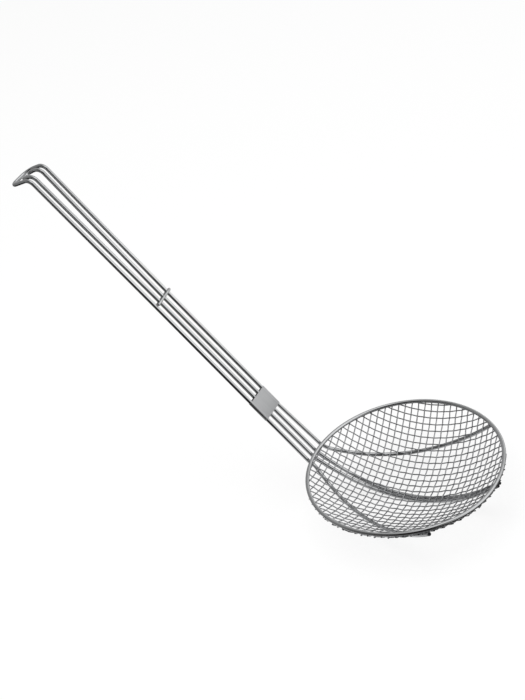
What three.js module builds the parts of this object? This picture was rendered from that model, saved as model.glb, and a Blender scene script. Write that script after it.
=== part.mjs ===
// Wire skimmer: a shallow bowl of square wire cloth under a round hoop, carried by two long wires.
// Each long wire is folded in half: its fold is the hanging hook, its two legs lie side by side as the
// handle, and their ends spread under the cloth as the bowl's ribs. A wire loop and a sheet-metal sleeve
// hold the four legs together.
// Millimetres, +Z up. The hoop lies level with the bowl open upwards, and the handle rises towards +X.
// The origin is on the bowl's axis, level with the flats under the two middle ribs.

import * as THREE from 'three';

// Hoop and cloth
const HOOP_RADIUS = 87.5; // to the middle of the hoop's wire
const HOOP_WIRE = 3.5; // diameter
const BOWL_DEPTH = 34.3; // how far the dish sinks below the hoop's middle
const CLOTH_WIRE = 1.1; // diameter
const CLOTH_PITCH = 6.25; // quarter-inch cloth, drawn a little closer where it is pressed into the dish
const CLOTH_TURN = 4.9; // degrees between the cloth's wires and the handle
const CLOTH_SHIFT_ALONG = 0.7; // from the bowl's axis to the nearest wire that crosses the handle's line
const CLOTH_SHIFT_ACROSS = 1.3; // from the bowl's axis to the nearest wire that runs with the handle
const CLOTH_SHORT = 0.6; // how far short of the hoop's middle the cloth is cut, in plan
const CLOTH_CUT_GAP = 0.9; // between a wire's cut end and the side of the wire that it stops short of
const NET_THICKNESS = 1.32; // over the crossings of the net that stands for the woven cloth

// Handle and hook
const FRAME_WIRE = 3.5; // diameter of the two long wires
const HANDLE_RISE = 54.6; // degrees between the handle and the hoop's plane
const HANDLE_LENGTH = 347.5; // straight length, from the hoop to the hook's bend
const OUTER_SPREAD = 10.9; // from the handle's middle to an outer leg, from the sleeve to the binder
const OUTER_SPREAD_AT_HOOP = 12.2; // the same, where the ribs begin
const OUTER_SPREAD_AT_HOOK = 11.9; // the same, where the hook begins
const INNER_SPREAD = 3.45; // from the handle's middle to an inner leg, from the bowl to the binder
const INNER_SPREAD_AT_HOOK = 5.6; // the same, where the hook begins
const HOOK_BEND = 7.8; // bend radius at the wire's middle
const HOOK_ANGLE = 75; // degrees that the hook turns back from the handle's line
const HOOK_DROP = 16; // length below the bend, to the middle of the outer fold
const HOOK_CORNER = 8.3; // radius of the outer fold's corners

// Ribs
const RIB_JOIN = 20; // from the bowl's axis to where the two middle ribs close up
const RIB_SPLAY = 29.5; // degrees that an outer rib turns away from the handle's line
const RIB_SPLAY_LEG = 4; // length that this turn takes on each side of its corner
const RIB_END = 126.5; // degrees round the hoop from the handle to an outer rib's end
const RIB_SHORT = 2.6; // how far short of the hoop's middle the ribs are cut, in plan

// Binder and sleeve
const BINDER_WIRE = 2.4; // diameter
const BINDER_PLACE = 198.5; // along the handle, from the hoop
const BINDER_GAP = 1; // between the binder's two cut ends
const BAND_PLACE = 65; // along the handle, from the hoop to the sleeve's middle
const BAND_LENGTH = 21.6;
const BAND_WALL = 0.6;

const CLEARANCE = 0.3; // between pieces that lie against each other

// Facets
const WIRE_SIDES = 8;
const BINDER_SIDES = 6;
const HOOP_STEPS = 48;
const RIB_STEPS = 19; // odd, so that the middle step is level under the bowl
const SPLAY_STEPS = 4;
const LAP_STEPS = 2; // where a leg bends round the hoop
const HOOK_STEPS = 5;
const CORNER_STEPS = 3;
const BAND_STEPS = 6; // round one end of the sleeve
const BINDER_STEPS = 6; // round one end of the binder
const STATION_GAP = 0.5; // least length between two sections of a wire
const ARC_ROUNDS = 12; // rounds of Newton's method, which close in on a length along the dish

// The layers under the hoop's middle: cloth, then ribs. The net's diamond section has the round wire's area.
const NET_HALF_HEIGHT = NET_THICKNESS / 2;
const NET_HALF_WIDTH = (Math.PI * CLOTH_WIRE ** 2) / (8 * NET_HALF_HEIGHT);
const CLOTH_OFFSET = HOOP_WIRE / 2 + CLEARANCE + NET_HALF_HEIGHT;
const RIB_OFFSET = CLOTH_OFFSET + NET_HALF_HEIGHT + CLEARANCE + FRAME_WIRE / 2;

const rise = THREE.MathUtils.degToRad(HANDLE_RISE);
const hookTurn = THREE.MathUtils.degToRad(HOOK_ANGLE);
const across = new THREE.Vector3(0, 1, 0);
const alongHandle = new THREE.Vector3(Math.cos(rise), 0, Math.sin(rise));
const handleFront = new THREE.Vector3(-Math.sin(rise), 0, Math.cos(rise));

// Everything is worked out with the hoop's middle at height 0, and lifted at the end.

// Dish: a paraboloid through the hoop's middle, whose sections along x and y are all the same parabola

const dishCurve = (2 * BOWL_DEPTH) / HOOP_RADIUS ** 2;

function dishUp(x, y) {
  return new THREE.Vector3(-dishCurve * x, -dishCurve * y, 1).normalize();
}

function underDish(x, y, offset) {
  const height = (dishCurve * (x * x + y * y)) / 2 - BOWL_DEPTH;
  return new THREE.Vector3(x, y, height).addScaledVector(dishUp(x, y), -offset);
}

// Wires: a section swept along stations that are set only where the wire bends. Each station has a point and
// a face, the direction that the surface under the wire looks in, which keeps the section from twisting.

class Centreline extends THREE.Curve {
  constructor(stations) {
    super();
    this.stations = stations;
  }

  getSpacedPoints() {
    return this.stations.map((station) => station.point);
  }

  computeFrenetFrames() {
    const points = this.getSpacedPoints();
    const last = points.length - 1;
    const steps = points.slice(1).map((point, i) => point.clone().sub(points[i]).normalize());
    const tangents = points.map((_, i) => {
      const before = steps[Math.max(i - 1, 0)];
      const after = steps[Math.min(i, last - 1)];
      return before.clone().add(after).normalize();
    });
    const normals = tangents.map((tangent, i) => {
      const face = this.stations[i].face;
      return face.clone().addScaledVector(tangent, -face.dot(tangent)).normalize();
    });
    const binormals = tangents.map((tangent, i) => tangent.clone().cross(normals[i]));
    return { tangents, normals, binormals };
  }
}

// A round wire's section, a polygon with flats at the wire's true diameter
function wireSection(diameter, sides) {
  const corner = diameter / 2 / Math.cos(Math.PI / sides);
  const points = [];
  for (let i = 0; i < sides; i++) {
    const angle = ((i + 0.5) * 2 * Math.PI) / sides;
    points.push(new THREE.Vector2(corner * Math.cos(angle), corner * Math.sin(angle)));
  }
  return new THREE.Shape(points);
}

function wireGeometry(stations, diameter, sides) {
  return new THREE.ExtrudeGeometry(wireSection(diameter, sides), {
    steps: stations.length - 1,
    extrudePath: new Centreline(stations),
  });
}

// Handle and hook: one ribbon that runs straight up from the hoop, round the hook's bend and down.
// A place on it is the length s from the hoop and the distance y from its middle.

const handleFoot = new THREE.Vector3(HOOP_RADIUS, 0, 0).addScaledVector(handleFront, -RIB_OFFSET);
const bendEnd = HANDLE_LENGTH + HOOK_BEND * hookTurn;
const bendCentre = handleFoot
  .clone()
  .addScaledVector(alongHandle, HANDLE_LENGTH)
  .addScaledVector(handleFront, -HOOK_BEND);

function onHandle(s, y) {
  const turned = THREE.MathUtils.clamp((s - HANDLE_LENGTH) / HOOK_BEND, 0, hookTurn);
  const face = handleFront.clone().multiplyScalar(Math.cos(turned)).addScaledVector(alongHandle, Math.sin(turned));
  const ahead = alongHandle.clone().multiplyScalar(Math.cos(turned)).addScaledVector(handleFront, -Math.sin(turned));
  const straight = Math.min(s - HANDLE_LENGTH, 0) + Math.max(s - bendEnd, 0);
  const point = bendCentre
    .clone()
    .addScaledVector(face, HOOK_BEND)
    .addScaledVector(ahead, straight)
    .addScaledVector(across, y);
  return { point, face };
}

// Stations along the handle through the places [s, y], with more of them round the hook's bend
function handleRun(places) {
  const stations = [];
  places.forEach(([s, y], i) => {
    if (i > 0) {
      const [before, beforeY] = places[i - 1];
      for (let k = 0; k <= HOOK_STEPS; k++) {
        const mark = HANDLE_LENGTH + ((bendEnd - HANDLE_LENGTH) * k) / HOOK_STEPS;
        if (mark > before + STATION_GAP && mark < s - STATION_GAP) {
          stations.push(onHandle(mark, THREE.MathUtils.mapLinear(mark, before, s, beforeY, y)));
        }
      }
    }
    stations.push(onHandle(s, y));
  });
  return stations;
}

// The rounded corner of a fold that ends at length s, on a leg that lies y from the middle
function foldCorner(s, y) {
  const radius = Math.min(HOOK_CORNER, y);
  const places = [];
  for (let i = 0; i <= CORNER_STEPS; i++) {
    const angle = (i * Math.PI) / 2 / CORNER_STEPS;
    places.push([s - radius + radius * Math.sin(angle), y - radius + radius * Math.cos(angle)]);
  }
  return places;
}

// A leg's bend round the underside of the hoop, from the dish's slope to the handle's
function hoopBend(y) {
  const slope = Math.atan(dishCurve * HOOP_RADIUS);
  const stations = [];
  for (let i = 1; i < LAP_STEPS; i++) {
    const angle = THREE.MathUtils.lerp(slope, rise, i / LAP_STEPS);
    const face = new THREE.Vector3(-Math.sin(angle), 0, Math.cos(angle));
    const point = new THREE.Vector3(HOOP_RADIUS, y, 0).addScaledVector(face, -RIB_OFFSET);
    stations.push({ point, face });
  }
  return stations;
}

// A folded wire from one leg's stations, which run from the rib's end to the fold, and their mirror image
function foldedWire(leg) {
  const mirrored = leg.map(({ point, face }) => ({
    point: new THREE.Vector3(point.x, -point.y, point.z),
    face: new THREE.Vector3(face.x, -face.y, face.z),
  }));
  return wireGeometry([...leg, ...mirrored.reverse()], FRAME_WIRE, WIRE_SIDES);
}

const outerFold = bendEnd + HOOK_DROP;
const innerFold = outerFold - (OUTER_SPREAD_AT_HOOK - INNER_SPREAD_AT_HOOK);

// Inner wire: its ribs run straight down the middle of the bowl, closed up against each other
function innerWire() {
  const closedUp = (FRAME_WIRE + CLEARANCE) / 2;
  const leg = [];
  for (let i = 0; i <= RIB_STEPS; i++) {
    const x = i === 0 ? -HOOP_RADIUS + RIB_SHORT : HOOP_RADIUS * ((2 * i) / RIB_STEPS - 1);
    const opened = THREE.MathUtils.clamp((x - RIB_JOIN) / (HOOP_RADIUS - RIB_JOIN), 0, 1);
    const y = THREE.MathUtils.lerp(closedUp, INNER_SPREAD, opened);
    leg.push({ point: underDish(x, 0, RIB_OFFSET).setY(y), face: dishUp(x, 0) });
  }
  leg.push(...hoopBend(INNER_SPREAD));
  leg.push(
    ...handleRun([
      [0, INNER_SPREAD],
      [BINDER_PLACE, INNER_SPREAD],
      [HANDLE_LENGTH, INNER_SPREAD_AT_HOOK],
      ...foldCorner(innerFold, INNER_SPREAD_AT_HOOK),
    ]),
  );
  return foldedWire(leg);
}

// Outer wire: its ribs turn away under the hoop and curve round the bowl's sides. In plan a rib is a short
// rounded corner and then a parabola to its end on the hoop.
function outerWire() {
  const splay = THREE.MathUtils.degToRad(RIB_SPLAY);
  const end = THREE.MathUtils.degToRad(RIB_END);
  const moved = underDish(HOOP_RADIUS, OUTER_SPREAD_AT_HOOP, RIB_OFFSET).y / OUTER_SPREAD_AT_HOOP;
  const spread = OUTER_SPREAD_AT_HOOP / moved;
  const away = new THREE.Vector2(-Math.cos(splay), Math.sin(splay));
  const start = new THREE.Vector2(HOOP_RADIUS, spread);
  const corner = new THREE.Vector2(HOOP_RADIUS - RIB_SPLAY_LEG, spread);
  const out = corner.clone().addScaledVector(away, RIB_SPLAY_LEG);
  const tip = new THREE.Vector2(Math.cos(end), Math.sin(end)).multiplyScalar(HOOP_RADIUS - RIB_SHORT);
  const middle = corner.clone().addScaledVector(away, (corner.x - (out.x + tip.x) / 2) / Math.cos(splay));
  const sweep = new THREE.QuadraticBezierCurve(tip, middle, out).getSpacedPoints(RIB_STEPS);
  const turn = new THREE.QuadraticBezierCurve(out, corner, start).getPoints(SPLAY_STEPS);

  // The handle is flat and the hoop is round, so a rib leaves a little lower than the dish
  const sink = (dishCurve * spread ** 2) / 2;
  const leg = [...sweep, ...turn.slice(1)].map(({ x, y }) => {
    const settled = (HOOP_RADIUS - x) / (2 * HOOP_RADIUS);
    const point = underDish(x, y, RIB_OFFSET);
    point.z -= sink * (1 - settled) ** 2;
    return { point, face: dishUp(x, y) };
  });
  leg.push(...hoopBend(OUTER_SPREAD_AT_HOOP));
  leg.push(
    ...handleRun([
      [0, OUTER_SPREAD_AT_HOOP],
      [BAND_PLACE - BAND_LENGTH / 2, OUTER_SPREAD],
      [BINDER_PLACE, OUTER_SPREAD],
      [HANDLE_LENGTH, OUTER_SPREAD_AT_HOOK],
      ...foldCorner(outerFold, OUTER_SPREAD_AT_HOOK),
    ]),
  );
  return foldedWire(leg);
}

// Hoop
function rimHoop() {
  return new THREE.TorusGeometry(HOOP_RADIUS, HOOP_WIRE / 2, WIRE_SIDES, HOOP_STEPS);
}

// Cloth: a net whose wires are fused where they cross. Wires lie at even steps of length along the dish's
// parabola, so the cells keep the cloth's pitch while the dish bends them.

function arcLength(x) {
  const slope = dishCurve * x;
  return (x * Math.sqrt(1 + slope * slope)) / 2 + Math.asinh(slope) / (2 * dishCurve);
}

function placeAtArc(length) {
  let x = length;
  for (let i = 0; i < ARC_ROUNDS; i++) {
    x -= (arcLength(x) - length) / Math.sqrt(1 + (dishCurve * x) ** 2);
  }
  return x;
}

function wirePlaces(shift) {
  const reach = arcLength(HOOP_RADIUS - CLOTH_SHORT);
  const places = [];
  for (let i = Math.ceil((-reach - shift) / CLOTH_PITCH); i * CLOTH_PITCH + shift < reach; i++) {
    places.push(placeAtArc(i * CLOTH_PITCH + shift));
  }
  return places;
}

function meshBowl() {
  const edge = HOOP_RADIUS - CLOTH_SHORT;
  const turn = THREE.MathUtils.degToRad(CLOTH_TURN);
  const columns = wirePlaces(CLOTH_SHIFT_ALONG);
  const rows = wirePlaces(CLOTH_SHIFT_ACROSS);
  const crosses = (i, j) => Math.hypot(columns[i], rows[j]) < edge - CLOTH_WIRE;
  const positions = [];
  const triangles = [];

  // A vertex above or below the cloth's middle surface, or beside it by a step along the cloth's own axes
  function addVertex(a, b, stepA, stepB, lift) {
    const up = dishUp(a, b);
    const alongA = new THREE.Vector3(1, 0, dishCurve * a).normalize();
    const alongB = new THREE.Vector3(0, 1, dishCurve * b).normalize();
    const point = underDish(a, b, CLOTH_OFFSET)
      .addScaledVector(alongA, stepA)
      .addScaledVector(alongB, stepB)
      .addScaledVector(up, lift)
      .applyAxisAngle(new THREE.Vector3(0, 0, 1), turn);
    return positions.push(point.x, point.y, point.z) / 3 - 1;
  }

  // A crossing has a top, a bottom and four corners, which the arms on both sides of a corner share
  function addCrossing(a, b) {
    const w = NET_HALF_WIDTH;
    const corners = {};
    for (const [sideA, sideB] of [[1, 1], [1, -1], [-1, 1], [-1, -1]]) {
      corners[[sideA, sideB]] = addVertex(a, b, sideA * w, sideB * w, 0);
    }
    return {
      a,
      b,
      top: addVertex(a, b, 0, 0, NET_HALF_HEIGHT),
      bottom: addVertex(a, b, 0, 0, -NET_HALF_HEIGHT),
      corners,
    };
  }

  // The diamond section of an arm that leaves a crossing in direction [da, db]: top, left, bottom, right
  function mouth(crossing, [da, db]) {
    const left = crossing.corners[[da - db, db + da]];
    const right = crossing.corners[[da + db, db - da]];
    return [crossing.top, left, crossing.bottom, right];
  }

  function addCap([top, left, bottom, right]) {
    triangles.push(top, bottom, left, top, right, bottom);
  }

  function addArm(from, to) {
    for (let k = 0; k < 4; k++) {
      const next = (k + 1) % 4;
      triangles.push(from[k], to[k], from[next], from[next], to[k], to[next]);
    }
  }

  // A cut end at a and b, seen in the same order as the mouth that it closes
  function addEnd(a, b, [da, db]) {
    const w = NET_HALF_WIDTH;
    return [
      addVertex(a, b, 0, 0, NET_HALF_HEIGHT),
      addVertex(a, b, -db * w, da * w, 0),
      addVertex(a, b, 0, 0, -NET_HALF_HEIGHT),
      addVertex(a, b, db * w, -da * w, 0),
    ];
  }

  // How far a wire runs from its last crossing: to the cloth's edge, or short of a neighbour that is cut there
  function runOut(here, next, aside) {
    const rim = Math.sqrt(edge ** 2 - aside ** 2) * Math.sign(next - here);
    const meets = Math.hypot(next, aside) < edge + CLOTH_WIRE;
    return meets ? next - Math.sign(next - here) * (CLOTH_WIRE / 2 + CLOTH_CUT_GAP) : rim;
  }

  const crossings = columns.map((a, i) => rows.map((b, j) => (crosses(i, j) ? addCrossing(a, b) : null)));
  const step = (places, i, by) => places[i + by] ?? places[i] + by * CLOTH_PITCH;
  columns.forEach((a, i) => {
    rows.forEach((b, j) => {
      const here = crossings[i][j];
      if (!here) return;
      for (const direction of [[1, 0], [-1, 0], [0, 1], [0, -1]]) {
        const [da, db] = direction;
        const next = crossings[i + da]?.[j + db];
        const from = mouth(here, direction);
        if (next) {
          const [top, left, bottom, right] = mouth(next, [-da, -db]);
          if (da + db > 0) addArm(from, [top, right, bottom, left]);
          continue;
        }
        const endA = da ? runOut(a, step(columns, i, da), b) : a;
        const endB = db ? runOut(b, step(rows, j, db), a) : b;
        if (Math.abs(endA - a) + Math.abs(endB - b) > CLOTH_WIRE) {
          const end = addEnd(endA, endB, direction);
          addArm(from, end);
          addCap(end);
        } else {
          addCap(from);
        }
      }
    });
  });

  const geometry = new THREE.BufferGeometry();
  geometry.setAttribute('position', new THREE.Float32BufferAttribute(positions, 3));
  geometry.setIndex(triangles);
  return geometry;
}

// Binder: one turn of wire round the four legs. Its cut ends meet in front, between an inner and an outer leg.
function handleBinder() {
  const depth = (FRAME_WIRE + BINDER_WIRE) / 2 + CLEARANCE;
  const joint = (INNER_SPREAD + OUTER_SPREAD) / 2;
  const loop = new THREE.Path()
    .moveTo(joint - BINDER_GAP / 2, depth)
    .lineTo(-OUTER_SPREAD, depth)
    .absarc(-OUTER_SPREAD, 0, depth, Math.PI / 2, (3 * Math.PI) / 2, false)
    .lineTo(OUTER_SPREAD, -depth)
    .absarc(OUTER_SPREAD, 0, depth, -Math.PI / 2, Math.PI / 2, false)
    .lineTo(joint + BINDER_GAP / 2, depth);
  const { point: middle } = onHandle(BINDER_PLACE, 0);
  const stations = loop.getPoints(BINDER_STEPS).map(({ x, y }) => ({
    point: middle.clone().addScaledVector(across, x).addScaledVector(handleFront, y),
    face: alongHandle.clone(),
  }));
  return wireGeometry(stations, BINDER_WIRE, BINDER_SIDES);
}

// Sleeve: sheet metal wrapped flat across the legs and rounded over the outer two
function sleeveOutline(path, radius) {
  path.absarc(OUTER_SPREAD, 0, radius, -Math.PI / 2, Math.PI / 2, false);
  path.absarc(-OUTER_SPREAD, 0, radius, Math.PI / 2, (3 * Math.PI) / 2, false);
  path.closePath();
  return path;
}

function clampBand() {
  const inside = FRAME_WIRE / 2 + CLEARANCE;
  const outline = sleeveOutline(new THREE.Shape(), inside + BAND_WALL);
  outline.holes.push(sleeveOutline(new THREE.Path(), inside));
  return new THREE.ExtrudeGeometry(outline, {
    depth: BAND_LENGTH,
    bevelEnabled: false,
    curveSegments: BAND_STEPS,
  });
}

// Materials
const wireSteel = new THREE.MeshStandardMaterial({ color: 0xa9abad, metalness: 1, roughness: 0.3 });
const clothSteel = new THREE.MeshStandardMaterial({ color: 0x8f9193, metalness: 1, roughness: 0.4 });
const sheetSteel = new THREE.MeshStandardMaterial({ color: 0xb4b5b6, metalness: 1, roughness: 0.45 });

// Assembly
const skimmer = new THREE.Group();

function addPiece(name, geometry, material) {
  const mesh = new THREE.Mesh(geometry, material);
  mesh.name = name;
  skimmer.add(mesh);
  return mesh;
}

addPiece('rim_hoop', rimHoop(), wireSteel);
addPiece('mesh_bowl', meshBowl(), clothSteel);
addPiece('outer_wire', outerWire(), wireSteel);
addPiece('inner_wire', innerWire(), wireSteel);
addPiece('handle_binder', handleBinder(), wireSteel);
const band = addPiece('clamp_band', clampBand(), sheetSteel);
band.setRotationFromMatrix(new THREE.Matrix4().makeBasis(across, handleFront, alongHandle));
band.position.copy(onHandle(BAND_PLACE - BAND_LENGTH / 2, 0).point);

// The flats under the middle ribs come to height 0
skimmer.position.z = -new THREE.Box3().setFromObject(skimmer).min.z;

export default skimmer;
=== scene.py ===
import math

import bpy
import numpy as np
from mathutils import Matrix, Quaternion, Vector


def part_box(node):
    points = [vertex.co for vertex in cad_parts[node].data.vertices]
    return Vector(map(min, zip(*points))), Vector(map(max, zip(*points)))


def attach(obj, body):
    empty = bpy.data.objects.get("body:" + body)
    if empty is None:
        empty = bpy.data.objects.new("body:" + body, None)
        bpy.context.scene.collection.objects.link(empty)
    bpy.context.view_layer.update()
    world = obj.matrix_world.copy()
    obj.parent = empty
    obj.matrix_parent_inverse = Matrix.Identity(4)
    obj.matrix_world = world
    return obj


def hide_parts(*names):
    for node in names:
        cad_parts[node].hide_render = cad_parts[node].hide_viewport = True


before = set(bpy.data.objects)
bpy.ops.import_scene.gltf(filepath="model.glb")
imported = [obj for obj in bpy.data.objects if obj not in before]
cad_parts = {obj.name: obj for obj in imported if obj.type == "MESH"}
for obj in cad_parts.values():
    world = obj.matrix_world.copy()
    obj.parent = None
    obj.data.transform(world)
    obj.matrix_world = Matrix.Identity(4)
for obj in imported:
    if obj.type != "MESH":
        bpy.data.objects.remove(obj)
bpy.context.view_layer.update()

# Sizes are in millimetres unless a comment says metres, and heights are counted from the middle of
# the rim hoop's wire. Each piece is turned to metres and lifted to the hoop's height when its mesh
# is made.

MM = 0.001


# Rim hoop
# A ring of bright drawn stainless wire, rolled round and butt-welded. It stiffens the edge of the
# bowl, and the cloth and the four ribs are welded to its underside.

hoop_low, hoop_high = (np.array(corner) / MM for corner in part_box("rim_hoop"))
HOOP_WIRE = hoop_high[2] - hoop_low[2]
HOOP_RADIUS = (hoop_high[0] - hoop_low[0] - HOOP_WIRE) / 2
HOOP_HEIGHT = (hoop_low[2] + hoop_high[2]) / 2
HOOP_BULGE = 1.6  # how far the hoop stands out of round on its far side
BULGE_TOWARDS = 158.0  # degrees round the hoop from the handle
BULGE_POWER = 14  # the higher, the shorter the stretch that stands out
HOOP_STATIONS = 240
WIRE_SIDES = 20
CHAMFER_STEPS = 3  # stations round the edge of a cut end
CUT_END_COLOUR = "#38383A"  # dark grey drawn on the cut ends
SHEARED_ROUGHNESS = 0.55
STREAK_DETAIL = 4.0  # octaves of finer streaks
STREAK_FALLOFF = 0.6  # strength of each octave against the one before
TINT_RANGE = (0.3, 0.7)  # noise values at which the dark and the pale tint are reached


def linear_colour(code):
    """Turns a hex sRGB colour to linear red, green, blue and alpha: c / 12.92 where it is dark, and
    ((c + 0.055) / 1.055) ** 2.4 elsewhere."""
    srgb = np.array([int(code[i:i + 2], 16) for i in (1, 3, 5)]) / 255
    linear = np.where(srgb <= 0.04045, srgb / 12.92, ((srgb + 0.055) / 1.055) ** 2.4)
    return (*linear.tolist(), 1.0)


def add_node(tree, kind, inputs, **settings):
    """Adds one node. Settings are its own properties, and each input, by name or number, gets a
    value or a link from another socket."""
    node = tree.nodes.new(kind)
    for name, value in settings.items():
        setattr(node, name, value)
    for name, value in inputs.items():
        if isinstance(value, bpy.types.NodeSocket):
            tree.links.new(value, node.inputs[name])
        else:
            node.inputs[name].default_value = value
    return node


def steel(name, pale, dark, roughness, streak, relief):
    """Stainless steel with streaks that run one way: two tints and a band of roughness, mixed by
    stretched noise.

    streak is the length and width of a streak in mm, read from the UV map, which is in mm. relief
    is the depth in mm of the scratches that the same streaks leave. The attribute cut_end is 1 on
    sheared ends, which are drawn dark grey and rougher."""
    material = bpy.data.materials.new(name)
    material.use_nodes = True
    tree = material.node_tree
    shader = tree.nodes["Principled BSDF"]
    shader.inputs["Metallic"].default_value = 1.0
    place = add_node(tree, "ShaderNodeUVMap", {}, uv_map="UVMap")
    stretch = add_node(tree, "ShaderNodeMapping", {
        "Vector": place.outputs["UV"],
        "Scale": (1 / streak[0], 1 / streak[1], 1.0),
    })
    streaks = add_node(tree, "ShaderNodeTexNoise", {
        "Vector": stretch.outputs["Vector"],
        "Scale": 1.0,
        "Detail": STREAK_DETAIL,
        "Roughness": STREAK_FALLOFF,
    }).outputs["Fac"]
    tint = add_node(tree, "ShaderNodeValToRGB", {"Fac": streaks})
    for stop, position, code in zip(tint.color_ramp.elements, TINT_RANGE, (dark, pale)):
        stop.position = position
        stop.color = linear_colour(code)
    polish = add_node(tree, "ShaderNodeMapRange", {
        "Value": streaks,
        "To Min": roughness[0],
        "To Max": roughness[1],
    })
    scratches = add_node(tree, "ShaderNodeBump", {
        "Height": streaks,
        "Strength": 1.0,
        "Distance": relief * MM,
    })
    # A mix node's sockets share names, so they go by number: 2 and 3 are values, 6 and 7 colours
    cut = add_node(tree, "ShaderNodeAttribute", {}, attribute_name="cut_end").outputs["Fac"]
    colour = add_node(tree, "ShaderNodeMix", {
        0: cut,
        6: tint.outputs["Color"],
        7: linear_colour(CUT_END_COLOUR),
    }, data_type="RGBA")
    dull = add_node(tree, "ShaderNodeMix", {
        0: cut,
        2: polish.outputs["Result"],
        3: SHEARED_ROUGHNESS,
    })
    tree.links.new(colour.outputs[2], shader.inputs["Base Color"])
    tree.links.new(dull.outputs[0], shader.inputs["Roughness"])
    tree.links.new(scratches.outputs["Normal"], shader.inputs["Normal"])
    return material


def unit(vectors):
    """Each vector divided by its own length."""
    return vectors / np.linalg.norm(vectors, axis=-1, keepdims=True)


def carry_circle(path, face, radius, sides, closed=False):
    """A circle carried along a path: path + radius * (cos(angle) * up + sin(angle) * aside).

    up is the face direction made square to the path, and aside is square to both. The last axes of
    the result are station, side and coordinate."""
    if closed:
        ahead = unit(np.roll(path, -1, -2) - np.roll(path, 1, -2))
    else:
        ahead = unit(np.gradient(path, axis=-2))
    up = unit(face - (face * ahead).sum(-1, keepdims=True) * ahead)
    aside = np.cross(ahead, up)
    angle = np.linspace(0, 2 * np.pi, sides, endpoint=False)[:, None]
    ring = np.cos(angle) * up[..., None, :] + np.sin(angle) * aside[..., None, :]
    return path[..., None, :] + np.asarray(radius)[..., None, None] * ring


def lengths_along(path, closed=False):
    """The length along a path at each station, and once more at the first one if it is closed."""
    if closed:
        path = np.concatenate([path, path[..., :1, :]], -2)
    steps = np.linalg.norm(np.diff(path, axis=-2), axis=-1)
    return np.concatenate([np.zeros_like(steps[..., :1]), np.cumsum(steps, -1)], -1)


def make_piece(name, rings, along, girth, material, closed=False):
    """Makes a mesh from rings[wire, station, side]: each quad joins two sides of one ring to those
    of the next.

    Open ends are closed by one flat face. The UV map is in mm: along the wire, and around it up one
    side and down the other, so that no seam shows."""
    wires, stations, sides = rings.shape[:3]
    spans = stations if closed else stations - 1
    wire, span, side = np.meshgrid(
        np.arange(wires), np.arange(spans), np.arange(sides), indexing="ij")
    first = wire * stations * sides
    here = first + span * sides
    there = first + (span + 1) % stations * sides
    beside = (side + 1) % sides
    quads = np.stack([here + side, here + beside, there + beside, there + side], -1).reshape(-1, 4)
    up_side = np.abs(1 - 2 * side / sides) * girth / 2
    up_next = np.abs(1 - 2 * (side + 1) / sides) * girth / 2
    start = along[wire, span]
    end = along[wire, span + 1]
    corners = [(start, up_side), (start, up_next), (end, up_next), (end, up_side)]
    uv = np.stack([np.stack(corner, -1) for corner in corners], -2).reshape(-1, 2)
    caps = []
    if not closed:
        ring = np.arange(sides)
        starts = np.arange(wires)[:, None] * stations * sides
        lasts = starts + (stations - 1) * sides
        caps = (starts + ring[::-1]).tolist() + (lasts + ring).tolist()
        uv = np.concatenate([uv, np.zeros((len(caps) * sides, 2))])
    mesh = bpy.data.meshes.new(name)
    points = (rings.reshape(-1, 3) + (0, 0, HOOP_HEIGHT)) * MM
    mesh.from_pydata(points.tolist(), [], quads.tolist() + caps)
    mesh.uv_layers.new(name="UVMap").data.foreach_set("uv", uv.ravel())
    if not closed:
        to_end = np.minimum(np.arange(stations), np.arange(stations)[::-1])
        near_end = (to_end < CHAMFER_STEPS)[None, :, None]
        cut_end = np.broadcast_to(near_end, rings.shape[:3]).astype(float)
        mesh.attributes.new("cut_end", "FLOAT", "POINT").data.foreach_set("value", cut_end.ravel())
    smooth = np.arange(len(quads) + len(caps)) < len(quads)
    mesh.polygons.foreach_set("use_smooth", smooth)
    mesh.materials.append(material)
    mesh.update()
    piece = bpy.data.objects.new(name, mesh)
    bpy.context.scene.collection.objects.link(piece)
    return piece


def bulge(turn):
    """How far the hoop stands out at a turn round it: bulge * cos(turn - towards) ** power, on that
    side only."""
    return HOOP_BULGE * np.maximum(np.cos(turn - math.radians(BULGE_TOWARDS)), 0) ** BULGE_POWER


# Stainless wire drawn bright through a die: a near mirror with faint lines along its length. The
# real lines are some hundredths of a millimetre apart, so they are drawn wider here to show.
drawn_wire = steel("bright_drawn_stainless_wire", pale="#DADBDC", dark="#CACBCC",
                   roughness=(0.06, 0.11), streak=(18, 0.5), relief=0.002)

hoop_turn = np.linspace(0, 2 * np.pi, HOOP_STATIONS, endpoint=False)
hoop_plan = np.stack([np.cos(hoop_turn), np.sin(hoop_turn), np.zeros_like(hoop_turn)], -1)
hoop_path = (HOOP_RADIUS + bulge(hoop_turn))[:, None] * hoop_plan
hoop_face = np.tile((0.0, 0.0, 1.0), (HOOP_STATIONS, 1))
hoop_rings = carry_circle(hoop_path, hoop_face, HOOP_WIRE / 2, WIRE_SIDES, closed=True)
hoop = make_piece("hoop_wire", hoop_rings[None], lengths_along(hoop_path, closed=True)[None],
                  math.pi * HOOP_WIRE, drawn_wire, closed=True)
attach(hoop, "root")
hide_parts("rim_hoop")


# Woven cloth
# Square cloth of thin stainless wire, each wire passing over one and under the next. It is pressed
# into a shallow dish, cut round, and welded under the hoop, where some cut ends stand out a little.

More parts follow.
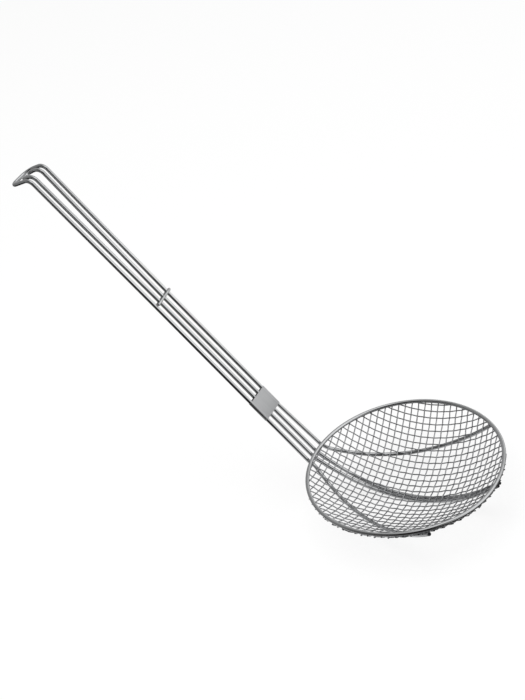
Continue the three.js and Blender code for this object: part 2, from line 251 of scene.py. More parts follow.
DISH_DEPTH = 34.3
DISH_REACH = 1.2  # how far out lengths along the dish are worked out, in hoop radii
DISH_SAMPLES = 2001
CLOTH_WIRE = 1.1  # thickness
WELD_PRESS = 0.78  # share of two crossed wires' thickness that is left
CUT_OVAL = 0.6  # how far the cut reaches past the hoop's middle along its long axis
CUT_TOWARDS = 135.0  # that axis, in degrees round the hoop from the handle
CUT_SPREAD = 0.3  # how far single ends differ from the cut
CUT_SEED = 5
CUT_ROUNDS = 6  # rounds in which each wire's half length settles
CLOTH_CHAMFER = 0.12
CLOTH_SIDES = 8
CLOTH_STATIONS = 156
MOST_WIRES = 20  # wires tried to either side of the middle one
SHORTEST_WIRE = 14.0  # half length of the last wire at the cloth's edge
BULGE_FADE = 8  # power of the radius by which the cloth follows the hoop's bulge

# The two sets of wires: pitch along the dish, shift of the wire nearest the middle, how the pitch
# changes towards the edge, how the wires fan out and bow where they meet the hoop, and their turn
# against the handle in degrees.
WITH_HANDLE = dict(pitch=6.36, shift=1.26, tighten=-0.011, fan=0.038, bow=-1.85, turn=5.16,
                   with_handle=True, over=1)
ACROSS_HANDLE = dict(pitch=6.16, shift=0.73, tighten=-0.004, fan=-0.013, bow=2.75, turn=4.59,
                     with_handle=False, over=-1)

DISH_CURVE = 2 * DISH_DEPTH / HOOP_RADIUS ** 2
RIM_LEAN = math.sin(math.atan(DISH_CURVE * HOOP_RADIUS))
CLOTH_OFFSET = HOOP_WIRE / 2 + WELD_PRESS * CLOTH_WIRE
CLOTH_SWING = (WELD_PRESS - 0.5) * CLOTH_WIRE


def dish_up(x, y):
    """The direction square to the dish, upwards: (-curve * x, -curve * y, 1) as a unit vector."""
    return unit(np.stack([-DISH_CURVE * x, -DISH_CURVE * y, np.ones_like(x)], -1))


def under_dish(x, y, offset):
    """A point under the dish: the paraboloid curve * (x² + y²) / 2 - depth, moved down along its
    own direction."""
    height = DISH_CURVE * (x ** 2 + y ** 2) / 2 - DISH_DEPTH
    return np.stack([x, y, height], -1) - offset * dish_up(x, y)


def along_parabola(x):
    """The length of the parabola from its lowest point to x, where it has the slope s:
    (x * sqrt(1 + s²) + asinh(s) / curve) / 2."""
    slope = DISH_CURVE * x
    return (x * np.sqrt(1 + slope ** 2) + np.arcsinh(slope) / DISH_CURVE) / 2


def wire_across(cloth, number, along):
    """How far wire `number` of a set lies from the middle, at `along` in its own direction: its
    length up the dish turned to a distance, times (1 + fan * share), plus bow * share, where share
    is (along / hoop radius)²."""
    length = number * cloth["pitch"] + cloth["shift"]
    length = length * (1 + cloth["tighten"] * (length / HOOP_RADIUS) ** 2)
    reach = np.linspace(-DISH_REACH, DISH_REACH, DISH_SAMPLES) * HOOP_RADIUS
    across = np.interp(length, along_parabola(reach), reach)
    share = (along / HOOP_RADIUS) ** 2
    return across * (1 + cloth["fan"] * share) + cloth["bow"] * share


def wire_number(cloth, across, along):
    """The inverse of wire_across: the number, with its fraction, of the wire at a place."""
    share = (along / HOOP_RADIUS) ** 2
    length = along_parabola((across - cloth["bow"] * share) / (1 + cloth["fan"] * share))
    length = length / (1 + cloth["tighten"] * (length / HOOP_RADIUS) ** 2)
    return (length - cloth["shift"]) / cloth["pitch"]


def swap_axes(cloth, first, second):
    """From along and across to x and y in the cloth's own axes, or back."""
    return (first, second) if cloth["with_handle"] else (second, first)


def turn_plan(x, y, degrees):
    """Turns places in plan about the bowl's axis."""
    angle = math.radians(degrees)
    return x * math.cos(angle) - y * math.sin(angle), x * math.sin(angle) + y * math.cos(angle)


def wire_plan(cloth, number, along):
    """Places in plan along wire `number` of a set, turned with the cloth."""
    return turn_plan(*swap_axes(cloth, along, wire_across(cloth, number, along)), cloth["turn"])


def cut_ends(path, face, radius, chamfer):
    """Rounds the edges of both cut ends: a quarter circle of the chamfer's radius takes the wire in
    to its end face."""
    quarter = np.linspace(0, np.pi / 2, CHAMFER_STEPS + 1)[1:]
    out = chamfer * np.sin(quarter)[:, None]
    narrow = radius - chamfer * (1 - np.cos(quarter))
    first = path[..., :1, :] + out[::-1] * unit(path[..., :1, :] - path[..., 1:2, :])
    last = path[..., -1:, :] + out * unit(path[..., -1:, :] - path[..., -2:-1, :])
    first_face = face[..., :1, :].repeat(CHAMFER_STEPS, -2)
    last_face = face[..., -1:, :].repeat(CHAMFER_STEPS, -2)
    radii = np.concatenate([narrow[::-1], np.full(path.shape[-2], radius), narrow])
    path = np.concatenate([first, path, last], -2)
    face = np.concatenate([first_face, face, last_face], -2)
    return path, face, radii


def weave(own, other, shuffle):
    """The centrelines of one set of wires: each lies under the dish and swings to either side.

    The swing goes as cos(pi * (crossing + number)), so that neighbours swing against each other,
    and the two sets have opposite signs, so that one goes over where the other goes under. It is
    less than half a wire, because the cloth is rolled flat. The cut follows the hoop's circle, made
    oval by cos(2 * turn), and each end is shuffled a little. Towards the edge the cloth follows the
    hoop's bulge, by a power of the radius."""
    number = np.arange(-MOST_WIRES, MOST_WIRES + 1)[:, None].astype(float)
    half = np.full_like(number, HOOP_RADIUS / 2)
    for _ in range(CUT_ROUNDS):
        half = np.sqrt(np.maximum(HOOP_RADIUS ** 2 - wire_across(own, number, half) ** 2, 0))
    kept = half[:, 0] > SHORTEST_WIRE
    number, half = number[kept], half[kept]
    ends = half * (-1, 1)
    x, y = wire_plan(own, number, ends)
    further = CUT_OVAL * np.cos(2 * (np.arctan2(y, x) - math.radians(CUT_TOWARDS)))
    ends = ends + (further + shuffle.uniform(-CUT_SPREAD, CUT_SPREAD, ends.shape)) * (-1, 1)
    share = np.linspace(0, 1, CLOTH_STATIONS)
    x, y = wire_plan(own, number, (1 - share) * ends[:, :1] + share * ends[:, 1:])
    other_along, other_across = swap_axes(other, *turn_plan(x, y, -other["turn"]))
    crossing = wire_number(other, other_across, other_along)
    swing = own["over"] * CLOTH_SWING * np.cos(np.pi * (crossing + number))
    face = dish_up(x, y)
    drawn = RIM_LEAN * bulge(np.arctan2(y, x)) * (np.hypot(x, y) / HOOP_RADIUS) ** BULGE_FADE
    return under_dish(x, y, CLOTH_OFFSET) + (swing - drawn)[..., None] * face, face


# Fine stainless weaving wire, soft-annealed before it is woven: duller than the frame's wire, with
# no clear lines.
cloth_wire = steel("woven_stainless_wire", pale="#C8C9CB", dark="#B0B1B3",
                   roughness=(0.2, 0.3), streak=(6, 0.4), relief=0.002)

shuffle = np.random.default_rng(CUT_SEED)
woven_sets = [weave(WITH_HANDLE, ACROSS_HANDLE, shuffle),
              weave(ACROSS_HANDLE, WITH_HANDLE, shuffle)]
cloth_path, cloth_face = (np.concatenate(parts) for parts in zip(*woven_sets))
cloth_path, cloth_face, cloth_radii = cut_ends(cloth_path, cloth_face, CLOTH_WIRE / 2,
                                               CLOTH_CHAMFER)
cloth_rings = carry_circle(cloth_path, cloth_face, cloth_radii, CLOTH_SIDES)
cloth = make_piece("woven_cloth", cloth_rings, lengths_along(cloth_path),
                   math.pi * CLOTH_WIRE, cloth_wire)
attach(cloth, "root")
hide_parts("mesh_bowl")


# Outer wire
# One long wire folded in half: the fold is the outer loop of the hook, the two legs are the
# handle's edges, and their ends turn away under the bowl as its side ribs, welded to the cloth and
# the hoop.

FRAME_WIRE = 3.5  # thickness
HANDLE_RISE = 54.6  # degrees between the handle and the hoop's plane
HANDLE_LENGTH = 347.5  # from the hoop to the hook's bend
HOOK_BEND = 7.8  # radius at the wire's middle
HOOK_ANGLE = 75.0  # degrees
HOOK_DROP = 16.6  # from the bend to the middle of the outer fold
HOOK_CORNERS = (6.5, 9.8)  # radii of the outer fold's two corners
HOOK_TILT = 2.2  # degrees that the bend's axis lies off square to the handle
FOLD_SKEW = 0.1  # how much longer the drop is for each millimetre across the handle
FOLD_SKEW_LENGTH = 12.0  # length over which that difference grows
LEGS_CLOSE = 54.2  # from the hoop to where the legs have closed up, at the clamp band's lower edge
LEGS_OPEN = 198.5  # from the hoop to where they open again, at the binder
OUTER_CLOSED = 10.9  # from the handle's middle to an outer leg between those two
OUTER_SPREADS = ((0, 12.2), (LEGS_CLOSE, OUTER_CLOSED), (LEGS_OPEN, OUTER_CLOSED),
                 (HANDLE_LENGTH, 11.9))  # distance from the hoop, and from the handle's middle
RIB_SPLAY = 29.5  # degrees that an outer rib turns away from the handle's line
RIB_SPLAY_LEG = 4.0  # length of the rounded corner to either side of that turn
RIB_END = 126.5  # degrees round the hoop from the handle
RIB_SHORT = 2.6  # how far short of the hoop's middle the ribs are cut, in plan
RIB_PRESS = 0.5  # how far the welds draw a rib's end into the cloth
RIB_PRESS_LENGTH = 30.0  # length of rib that they draw
OUTER_LEAN = -1.6  # how far the legs lie to one side where they pass the hoop
LEAN_REACH = 35.0  # how far to either side of the hoop that lean dies out
END_CHAMFER = 0.35
RIB_STATIONS = 90
SPLAY_STATIONS = 12
HOOP_BEND_STATIONS = 8
HANDLE_STATIONS = 60
BEND_STATIONS = 24
DROP_STATIONS = 6

RIB_OFFSET = (HOOP_WIRE + FRAME_WIRE) / 2 + 2 * WELD_PRESS * CLOTH_WIRE
rise = math.radians(HANDLE_RISE)
along_handle = np.array([math.cos(rise), 0, math.sin(rise)])
handle_front = np.array([-math.sin(rise), 0, math.cos(rise)])
across_handle = np.array([0.0, 1.0, 0.0])
handle_foot = np.array([HOOP_RADIUS, 0, 0]) - RIB_OFFSET * handle_front
bend_end = HANDLE_LENGTH + HOOK_BEND * math.radians(HOOK_ANGLE)
outer_fold = bend_end + HOOK_DROP


def on_handle(s, y):
    """A place on the handle's ribbon, s from the hoop and y from its middle, and the way it faces.

    The ribbon is straight up to the bend, then an arc of the bend's radius, and then straight
    again. The bend's axis is tilted in the ribbon's plane, so a place is measured square to it and
    along it."""
    s = s + FOLD_SKEW * y * np.clip((s - HANDLE_LENGTH) / FOLD_SKEW_LENGTH, 0, 1)
    tilt = math.radians(HOOK_TILT)
    axis = math.cos(tilt) * across_handle - math.sin(tilt) * along_handle
    square = math.cos(tilt) * along_handle + math.sin(tilt) * across_handle
    past_axis = (s - HANDLE_LENGTH) * math.cos(tilt) + y * math.sin(tilt)
    along_axis = y * math.cos(tilt) - (s - HANDLE_LENGTH) * math.sin(tilt)
    bend_length = bend_end - HANDLE_LENGTH
    turned = np.clip(past_axis, 0, bend_length)[:, None] / HOOK_BEND
    face = np.cos(turned) * handle_front + np.sin(turned) * square
    ahead = np.cos(turned) * square - np.sin(turned) * handle_front
    straight = np.minimum(past_axis, 0) + np.maximum(past_axis - bend_length, 0)
    centre = handle_foot + HANDLE_LENGTH * along_handle - HOOK_BEND * handle_front
    place = centre + HOOK_BEND * face + straight[:, None] * ahead + along_axis[:, None] * axis
    return place, face


def half_fold(spreads, fold, corner):
    """One leg of a folded wire: up the handle, round the bend, and a quarter circle to the fold's
    middle."""
    angle = np.linspace(0, np.pi / 2, BEND_STATIONS)
    s = np.concatenate([
        np.linspace(0, HANDLE_LENGTH, HANDLE_STATIONS)[:-1],
        np.linspace(HANDLE_LENGTH, bend_end, BEND_STATIONS)[:-1],
        np.linspace(bend_end, fold - corner, DROP_STATIONS)[:-1],
    ])
    y = np.interp(s, *np.transpose(spreads))
    s = np.concatenate([s, fold - corner + corner * np.sin(angle)])
    y = np.concatenate([y, spreads[-1][1] - corner + corner * np.cos(angle)])
    return s, y


def folded_handle(spreads, fold, corners):
    """Both legs of a folded wire: up one leg, round the fold's two corners, and down the other."""
    up_s, up_y = half_fold(spreads, fold, corners[0])
    down_s, down_y = half_fold(spreads, fold, corners[1])
    return on_handle(np.concatenate([up_s, down_s[::-1]]), np.concatenate([up_y, -down_y[::-1]]))


def hoop_bend(y):
    """A leg's bend under the hoop, an arc from the dish's slope to the handle's rise."""
    angle = np.linspace(math.atan(DISH_CURVE * HOOP_RADIUS), rise, HOOP_BEND_STATIONS)[1:-1]
    face = np.stack([-np.sin(angle), np.zeros_like(angle), np.cos(angle)], -1)
    return np.array([HOOP_RADIUS, y, 0]) - RIB_OFFSET * face, face


def bezier(a, b, c, stations):
    """A parabola from a to c, with b where its tangents meet: (1-t)² a + 2t(1-t) b + t² c."""
    t = np.linspace(0, 1, stations)[:, None]
    return (1 - t) ** 2 * a + 2 * t * (1 - t) * b + t ** 2 * c


def make_frame_wire(name, rib, spreads, fold, corners, lean):
    """A folded wire: a rib, its bend round the hoop, both legs, and the first two mirrored.

    The whole wire is moved across by the lean where it passes the hoop, evenly less to either side
    of it."""
    first = [np.concatenate(parts) for parts in zip(rib, hoop_bend(spreads[0][1]))]
    legs = folded_handle(spreads, fold, corners)
    mirrored = [part[::-1] * (1, -1, 1) for part in first]
    path, face = (np.concatenate(parts) for parts in zip(first, legs, mirrored))
    path[:, 1] += lean * np.clip(1 - np.abs(path[:, 0] - HOOP_RADIUS) / LEAN_REACH, 0, 1)
    path, face, radii = cut_ends(path, face, FRAME_WIRE / 2, END_CHAMFER)
    rings = carry_circle(path, face, radii, WIRE_SIDES)
    piece = make_piece(name, rings[None], lengths_along(path)[None],
                       math.pi * FRAME_WIRE, drawn_wire)
    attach(piece, "root")
    return piece


def rib_offset(from_end):
    """How far a rib's middle lies under the dish: less by a square law near its welded end."""
    near = np.clip(1 - from_end / RIB_PRESS_LENGTH, 0, 1)
    return (RIB_OFFSET - RIB_PRESS * near ** 2)[:, None]


def outer_rib():
    """In plan a short rounded corner and then a parabola to the hoop.

    The handle is flat and the hoop is round, so the rib leaves a little lower than the dish, and
    settles against it along its way."""
    tuck = RIB_OFFSET * DISH_CURVE / math.hypot(1, DISH_CURVE * HOOP_RADIUS)
    spread = OUTER_SPREADS[0][1] / (1 + tuck)
    splay = math.radians(RIB_SPLAY)
    end = math.radians(RIB_END)
    away = np.array([-math.cos(splay), math.sin(splay)])
    start = np.array([HOOP_RADIUS, spread])
    corner = start - (RIB_SPLAY_LEG, 0)
    out = corner + RIB_SPLAY_LEG * away
    tip = (HOOP_RADIUS - RIB_SHORT) * np.array([math.cos(end), math.sin(end)])
    middle = corner + away * (corner[0] - (out[0] + tip[0]) / 2) / math.cos(splay)
    plan = np.concatenate([
        bezier(tip, middle, out, RIB_STATIONS),
        bezier(out, corner, start, SPLAY_STATIONS)[1:],
    ])
    x, y = plan.T
    point = under_dish(x, y, rib_offset(np.linalg.norm(plan - tip, axis=-1)))
    settled = (HOOP_RADIUS - x) / (2 * HOOP_RADIUS)
    point[:, 2] -= DISH_CURVE * spread ** 2 / 2 * (1 - settled) ** 2
    return point, dish_up(x, y)


outer = make_frame_wire("outer_frame_wire", outer_rib(), OUTER_SPREADS, outer_fold,
                        HOOK_CORNERS, OUTER_LEAN)
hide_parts("outer_wire")


# Inner wire
# A second folded wire inside the first. Its legs lie beside the handle's middle, close up under the
# bowl, and run side by side through the bowl's lowest point to the far side of the hoop.

INNER_CLOSED = 3.45  # from the handle's middle to an inner leg, up to the binder
INNER_SPREADS = ((0, INNER_CLOSED), (LEGS_OPEN, INNER_CLOSED), (HANDLE_LENGTH, 5.6))
RIB_JOIN = 20.0  # from the bowl's axis to where the two ribs close up
INNER_GAP = 0.3  # between the two ribs where they are closed up
INNER_LEAN = -0.4  # how far its legs lie to one side where they pass the hoop
FOLD_INSET = 8.2  # from the outer fold's middle to the inner fold's

inner_fold = outer_fold - FOLD_INSET


def inner_rib():
    """Along the dish's middle section, opening evenly from the closed-up distance to the handle's
    spread."""
    x = np.linspace(-HOOP_RADIUS + RIB_SHORT, HOOP_RADIUS, RIB_STATIONS)
    y = np.interp(x, (RIB_JOIN, HOOP_RADIUS), ((FRAME_WIRE + INNER_GAP) / 2, INNER_CLOSED))
    point = under_dish(x, np.zeros_like(x), rib_offset(x - x[0]))
    point[:, 1] = y
    return point, dish_up(x, np.zeros_like(x))


inner_corners = (INNER_SPREADS[-1][1], INNER_SPREADS[-1][1])  # a full half circle
inner = make_frame_wire("inner_frame_wire", inner_rib(), INNER_SPREADS, inner_fold,
                        inner_corners, INNER_LEAN)
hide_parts("inner_wire")


# Handle binder
# A clip of softer wire bent tightly round the legs, half way up the handle, so that they can't
# spread. It passes round one outer leg, and both its ends are cut beside the other one, in front
# and behind.

BINDER_WIRE = 2.4  # thickness
BINDER_PLACE = 197.2  # from the hoop, along the handle
BINDER_SLANT = -0.07  # along the handle for each millimetre across it
BINDER_FRONT_END = 9.7  # where the front run is cut, from the handle's middle
BINDER_BACK_END = 9.0  # where the back run is cut
BINDER_CHAMFER = 0.12
BINDER_SIDES = 16
END_STATIONS = 24


def round_leg(depth):
    """A half circle round an outer leg, from behind to in front: across the handle it is
    spread + depth * cos(turn), and forward depth * sin(turn)."""
    turn = np.linspace(-np.pi / 2, np.pi / 2, END_STATIONS)
    return np.stack([OUTER_CLOSED + depth * np.cos(turn), depth * np.sin(turn)], -1)


binder_depth = (FRAME_WIRE + BINDER_WIRE) / 2
binder_loop = np.concatenate([
    [(BINDER_FRONT_END, binder_depth)],
    -round_leg(binder_depth),
    [(BINDER_BACK_END, -binder_depth)],
])
binder_middle = handle_foot + (BINDER_PLACE + BINDER_SLANT * binder_loop[:, :1]) * along_handle
binder_path = (binder_middle + binder_loop[:, :1] * across_handle
               + binder_loop[:, 1:] * handle_front)
binder_face = np.tile(along_handle, (len(binder_loop), 1))
binder_path, binder_face, binder_radii = cut_ends(binder_path, binder_face, BINDER_WIRE / 2,
                                                  BINDER_CHAMFER)
binder_rings = carry_circle(binder_path, binder_face, binder_radii, BINDER_SIDES)
binder = make_piece("binder_loop", binder_rings[None], lengths_along(binder_path)[None],
                    math.pi * BINDER_WIRE, drawn_wire)
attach(binder, "root")
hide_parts("handle_binder")


# Clamp band
# A strip of satin stainless sheet wrapped round the four legs near the bowl and pressed flat on
# them, so that its front is a flat plate and its ends follow the outer legs.

BAND_PLACE = 65.0  # from the hoop to the band's middle, along the handle
BAND_LENGTH = 21.6  # along the handle
BAND_WALL = 0.4
BAND_EDGE = 0.18  # radius of the sheet's worn edges
EDGE_STATIONS = 5

# Stainless sheet rolled with a satin finish: soft grey, with fine lines across the handle
satin_sheet = steel("satin_rolled_stainless_sheet", pale="#C5C6C7", dark="#B5B6B7",
                    roughness=(0.3, 0.42), streak=(0.5, 14), relief=0.003)


def rounded_box(width, height, radius, stations):
    """A rectangle with rounded corners, as four quarter circles joined by straight sides."""
    quarter = np.linspace(0, np.pi / 2, stations)
    corner = np.stack([width / 2 - radius + radius * np.cos(quarter),
                       height / 2 - radius + radius * np.sin(quarter)], -1)
    return np.concatenate([corner, corner[::-1] * (-1, 1), -corner, corner[::-1] * (1, -1)])


band_end = round_leg((FRAME_WIRE + BAND_WALL) / 2)
band_loop = np.concatenate([band_end, -band_end])
band_ahead = unit(np.roll(band_loop, -1, 0) - np.roll(band_loop, 1, 0))
band_out = np.stack([band_ahead[:, 1], -band_ahead[:, 0]], -1)
band_section = rounded_box(BAND_WALL, BAND_LENGTH, BAND_EDGE, EDGE_STATIONS)
band_flat = band_loop[:, None, :] + band_section[:, :1] * band_out[:, None, :]
band_rings = (handle_foot + (BAND_PLACE + band_section[:, 1:]) * along_handle
              + band_flat[..., :1] * across_handle + band_flat[..., 1:] * handle_front)
band_path = band_rings.mean(1)
band = make_piece("clamp_sleeve", band_rings[None], lengths_along(band_path, closed=True)[None],
                  2 * (BAND_LENGTH + BAND_WALL), satin_sheet, closed=True)
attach(band, "root")
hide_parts("clamp_band")


# Floor, light and camera
# A plain white floor and surround, lit by two soft lamps. A drum of pale and dark cards round the
# object, which only reflections see, gives the bright wires their pale and dark lines, as the cards
# of a photographer's light tent do.

WHITE = "#FFFFFF"
FLOOR_SIZE = 12.0  # metres
FLOOR_HEIGHT = -0.002  # metres
FLOOR_COLOUR = "#F4F4F4"
FLOOR_ROUGHNESS = 0.9
FLOOR_GLOW = 0.8  # share of the floor's white that has no shadow on it


def seen_directly(tree):
    """1 for rays from the camera, a mirror or glass, and 0 for light that falls on a surface."""
    path = add_node(tree, "ShaderNodeLightPath", {})
    seen = path.outputs["Is Camera Ray"]
    for name in ("Is Glossy Ray", "Is Transmission Ray"):
        either = add_node(tree, "ShaderNodeMath", {0: seen, 1: path.outputs[name]},
                          operation="MAXIMUM")
        seen = either.outputs[0]
    return seen


# Matt white paper: no gloss, and most of its white kept clear of the object's shadow
white_floor = bpy.data.materials.new("white_paper")
white_floor.use_nodes = True
floor_tree = white_floor.node_tree
paper = floor_tree.nodes["Principled BSDF"]
paper.inputs["Base Color"].default_value = linear_colour(FLOOR_COLOUR)
paper.inputs["Roughness"].default_value = FLOOR_ROUGHNESS
paper.inputs["Specular IOR Level"].default_value = 0.0
glow = add_node(floor_tree, "ShaderNodeEmission", {"Color": linear_colour(WHITE), "Strength": 1.0})
glow_share = add_node(floor_tree, "ShaderNodeMath", {0: seen_directly(floor_tree), 1: FLOOR_GLOW},
                      operation="MULTIPLY")
floor_mix = add_node(floor_tree, "ShaderNodeMixShader", {
    0: glow_share.outputs[0],
    1: paper.outputs[0],
    2: glow.outputs[0],
})
floor_tree.links.new(floor_mix.outputs[0], floor_tree.nodes["Material Output"].inputs["Surface"])

floor_corners = [(x * FLOOR_SIZE / 2, y * FLOOR_SIZE / 2, FLOOR_HEIGHT)
                 for x, y in ((-1, -1), (1, -1), (1, 1), (-1, 1))]
floor_mesh = bpy.data.meshes.new("floor")
floor_mesh.from_pydata(floor_corners, [], [(0, 1, 2, 3)])
floor_mesh.materials.append(white_floor)
floor = bpy.data.objects.new("floor", floor_mesh)
bpy.context.scene.collection.objects.link(floor)

TENT_REACH = 2.0  # metres from the bowl's axis to the upright cards
TENT_FOOT = -0.001  # metres, just above the floor
TENT_COLUMNS = 73  # one every 5 degrees

# The cards' tones, listed as pairs of degrees from +X and brightness: first those that lie on
# the floor, from under the bowl outwards, then the upright ones, from the floor up, and the roof.
UNDER_TONES = ((-180, 0.6), (-90, 0.4), (-60, 0.1), (-10, 0.1), (20, 0.55), (150, 0.55),
               (180, 0.6))
EDGE_TONES = ((-180, 0.5), (-90, 0.4), (-60, 0.1), (-10, 0.1), (20, 0.9), (95, 0.9), (115, 0.1),
              (168, 0.06), (180, 0.5))
NEAR_TONES = ((-180, 0.04), (-155, 0.06), (-125, 0.1), (-62, 0.1), (-45, 0.4), (0, 0.6), (45, 0.6),
              (70, 0.25), (115, 0.1), (138, 0.03), (180, 0.04))
SIDE_TONES = ((-180, 0.04), (-155, 0.06), (-125, 0.1), (-62, 0.1), (-45, 0.4), (0, 0.4), (25, 0.0),
              (140, 0.0), (180, 0.04))
OUT_TONES = ((-180, 0.6), (-150, 0.7), (-112, 0.8), (-70, 0.8), (-45, 0.15), (-15, 0.1), (5, 0.05),
             (20, 0.0), (130, 0.0), (143, 0.15), (175, 0.42), (180, 0.45))
FAR_TONES = ((-180, 0.45), (-150, 0.6), (-112, 0.8), (-70, 0.8), (-45, 0.4), (-15, 0.35), (5, 0.15),
             (45, 0.3), (92, 0.3), (105, 0.0), (128, 0.0), (143, 0.15), (175, 0.42), (180, 0.45))
BASE_TONES = ((-180, 0.75), (-150, 0.75), (-144, 0.05), (-127, 0.05), (-112, 0.9), (-80, 1.05),
              (-62, 0.95), (-46, 0.4), (-15, 0.35), (5, 0.2), (45, 0.2), (60, 0.0), (130, 0.0),
              (140, 0.3), (150, 0.65), (180, 0.75))
LOW_TONES = ((-180, 0.75), (-150, 0.8), (-112, 1.1), (-80, 1.05), (-62, 0.95), (-46, 0.4),
             (-15, 0.35), (5, 0.2), (45, 0.2), (85, 0.18), (97, 0.0), (132, 0.0), (142, 0.25),
             (152, 0.6), (180, 0.75))
WAIST_TONES = ((-180, 0.65), (-165, 0.85), (-125, 0.8), (-100, 0.45), (-57, 0.4), (-23, 0.3),
               (45, 0.22), (60, 0.12), (95, 0.0), (140, 0.0), (152, 0.12), (165, 0.42),
               (180, 0.65))
MID_TONES = ((-180, 1.2), (-165, 1.4), (-130, 1.25), (-105, 0.45), (-57, 0.4), (-23, 0.3),
             (45, 0.22), (60, 0.15), (95, 0.1), (105, 0.0), (138, 0.0), (152, 0.25), (165, 0.8),
             (180, 1.2))
HIGH_TONES = ((-180, 1.25), (-163, 1.25), (-147, 0.8), (-138, 0.4), (-113, 0.45), (-83, 0.48),
              (-57, 0.38), (-23, 0.34), (10, 0.3), (77, 0.2), (105, 0.1), (122, 0.12), (137, 0.6),
              (155, 0.85), (168, 1.15), (180, 1.25))
TOP_TONES = ((-180, 0.95), (-100, 0.95), (-83, 0.48), (-57, 0.4), (-23, 0.36), (10, 0.3), (50, 0.0),
             (148, 0.0), (166, 0.8), (180, 0.95))
ROOF_TONES = ((-180, 1.0), (-60, 1.0), (-20, 0.35), (80, 0.35), (120, 0.8), (180, 1.0))

# Each card's two edges: reach from the bowl's axis and height in metres, and tones
TENT_ROWS = (
    (0.0, 0.0, UNDER_TONES), (0.068, 0.0, UNDER_TONES),
    (0.08, 0.0, EDGE_TONES), (0.092, 0.0, EDGE_TONES),
    (0.105, 0.0, NEAR_TONES), (0.2, 0.0, NEAR_TONES),
    (0.23, 0.0, SIDE_TONES), (0.28, 0.0, SIDE_TONES),
    (0.34, 0.0, OUT_TONES), (0.8, 0.0, OUT_TONES),
    (1.0, 0.0, FAR_TONES), (1.9, 0.0, FAR_TONES),
    (TENT_REACH, 0.0, BASE_TONES), (TENT_REACH, 0.22, BASE_TONES),
    (TENT_REACH, 0.3, LOW_TONES), (TENT_REACH, 0.52, LOW_TONES),
    (TENT_REACH, 0.7, WAIST_TONES), (TENT_REACH, 1.02, WAIST_TONES),
    (TENT_REACH, 1.14, MID_TONES), (TENT_REACH, 1.3, MID_TONES),
    (TENT_REACH, 1.42, HIGH_TONES), (TENT_REACH, 1.6, HIGH_TONES),
    (TENT_REACH, 1.7, TOP_TONES), (TENT_REACH, 2.6, TOP_TONES),
    (1.2, 3.2, ROOF_TONES), (0.0, 3.2, ROOF_TONES),
)


def tent_drum():
    """A surface of turning: each row of points is (reach * cos(turn), reach * sin(turn), height),
    with its card's tone at that turn. Returns points, quads and tones."""
    degrees = np.linspace(-180, 180, TENT_COLUMNS)
    turn = np.radians(degrees)
    plan = np.stack([np.cos(turn), np.sin(turn)], -1)
    points = [np.column_stack([reach * plan, np.full(TENT_COLUMNS, height + TENT_FOOT)])
              for reach, height, _ in TENT_ROWS]
    tones = [np.interp(degrees, *np.transpose(pairs)) for _, _, pairs in TENT_ROWS]
    rows = np.arange(len(TENT_ROWS) - 1)[:, None] * TENT_COLUMNS
    here = rows + np.arange(TENT_COLUMNS - 1)
    there = here + TENT_COLUMNS
    quads = np.stack([here, here + 1, there + 1, there], -1).reshape(-1, 4)
    return np.concatenate(points), quads, np.concatenate(tones)


# Matt card that glows evenly with its own tone, so that the wires mirror it without any shadow
tent_cards = bpy.data.materials.new("tent_cards")
tent_cards.use_nodes = True
card_tree = tent_cards.node_tree
card_tone = add_node(card_tree, "ShaderNodeAttribute", {}, attribute_name="tone")
card_light = add_node(card_tree, "ShaderNodeEmission", {
    "Color": linear_colour(WHITE),
    "Strength": card_tone.outputs["Fac"],
})
card_tree.links.new(card_light.outputs[0], card_tree.nodes["Material Output"].inputs["Surface"])

tent_points, tent_quads, tent_tones = tent_drum()
tent_mesh = bpy.data.meshes.new("tent")
tent_mesh.from_pydata(tent_points.tolist(), [], tent_quads.tolist())
tent_mesh.attributes.new("tone", "FLOAT", "POINT").data.foreach_set("value", tent_tones)
tent_mesh.materials.append(tent_cards)
tent = bpy.data.objects.new("tent", tent_mesh)
tent.visible_camera = False
tent.visible_diffuse = False
tent.visible_shadow = False
bpy.context.scene.collection.objects.link(tent)

FILL_LIGHT = 0.55  # strength of the light that the surround sheds
SURROUND_WHITE = 1.0  # strength at which the surround is seen, plain white

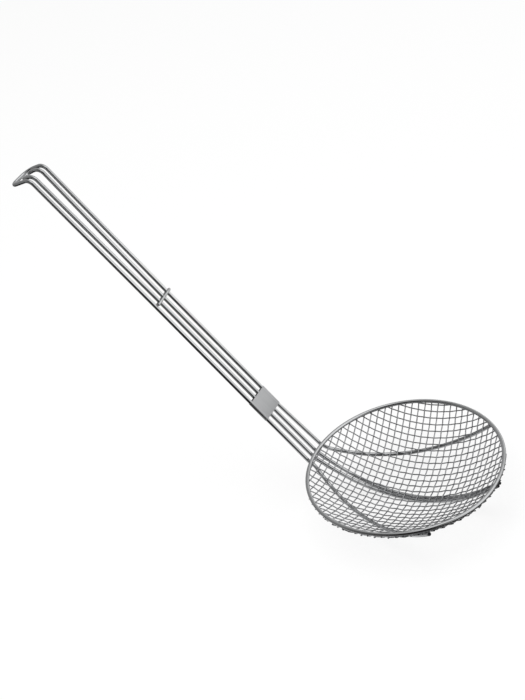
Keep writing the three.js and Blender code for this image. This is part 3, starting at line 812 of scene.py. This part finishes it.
world = bpy.data.worlds.new("light_tent")
bpy.context.scene.world = world
world.use_nodes = True
world_tree = world.node_tree
world_tree.nodes.clear()
fill, surround = (add_node(world_tree, "ShaderNodeBackground",
                           {"Color": linear_colour(WHITE), "Strength": strength})
                  for strength in (FILL_LIGHT, SURROUND_WHITE))
world_mix = add_node(world_tree, "ShaderNodeMixShader", {
    0: seen_directly(world_tree),
    1: fill.outputs[0],
    2: surround.outputs[0],
})
add_node(world_tree, "ShaderNodeOutputWorld", {"Surface": world_mix.outputs[0]})

SOFTBOX_AIM = (0.1, 0.0, 0.1)  # metres
TOP_SOFTBOX = dict(place=(0.3, 0.2, 2.2), size=1.8, power=34)  # metres and watts
SIDE_SOFTBOX = dict(place=(-1.6, 0.0, 1.0), size=1.2, power=7)


def add_softbox(name, place, size, power):
    """A square lamp turned to the common aim. Reflections show the tent and not the lamp."""
    lamp = bpy.data.lights.new(name, "AREA")
    lamp.shape = "SQUARE"
    lamp.size = size
    lamp.energy = power
    softbox = bpy.data.objects.new(name, lamp)
    softbox.location = place
    towards = Vector(SOFTBOX_AIM) - Vector(place)
    softbox.rotation_euler = towards.to_track_quat("-Z", "Y").to_euler()
    softbox.visible_glossy = False
    bpy.context.scene.collection.objects.link(softbox)


add_softbox("top_softbox", **TOP_SOFTBOX)
add_softbox("side_softbox", **SIDE_SOFTBOX)

CAMERA_PLACE = (-576.56, 915.18, 914.76)
CAMERA_AIM = (118.49, -5.36, 108.24)
CAMERA_ROLL = -16.40  # degrees
CAMERA_LENS = 82.29  # on a 36 mm sensor

camera_data = bpy.data.cameras.new("photo_camera")
camera_data.lens = CAMERA_LENS
camera = bpy.data.objects.new("photo_camera", camera_data)
camera_place = (Vector(CAMERA_PLACE) + Vector((0, 0, HOOP_HEIGHT))) * MM
camera_aim = (Vector(CAMERA_AIM) + Vector((0, 0, HOOP_HEIGHT))) * MM
camera_roll = Quaternion((0, 0, 1), math.radians(CAMERA_ROLL))
camera_turn = (camera_aim - camera_place).to_track_quat("-Z", "Y") @ camera_roll
camera.location = camera_place
camera.rotation_euler = camera_turn.to_euler()
bpy.context.scene.collection.objects.link(camera)
bpy.context.scene.camera = camera
bpy.context.scene.view_settings.view_transform = "Standard"
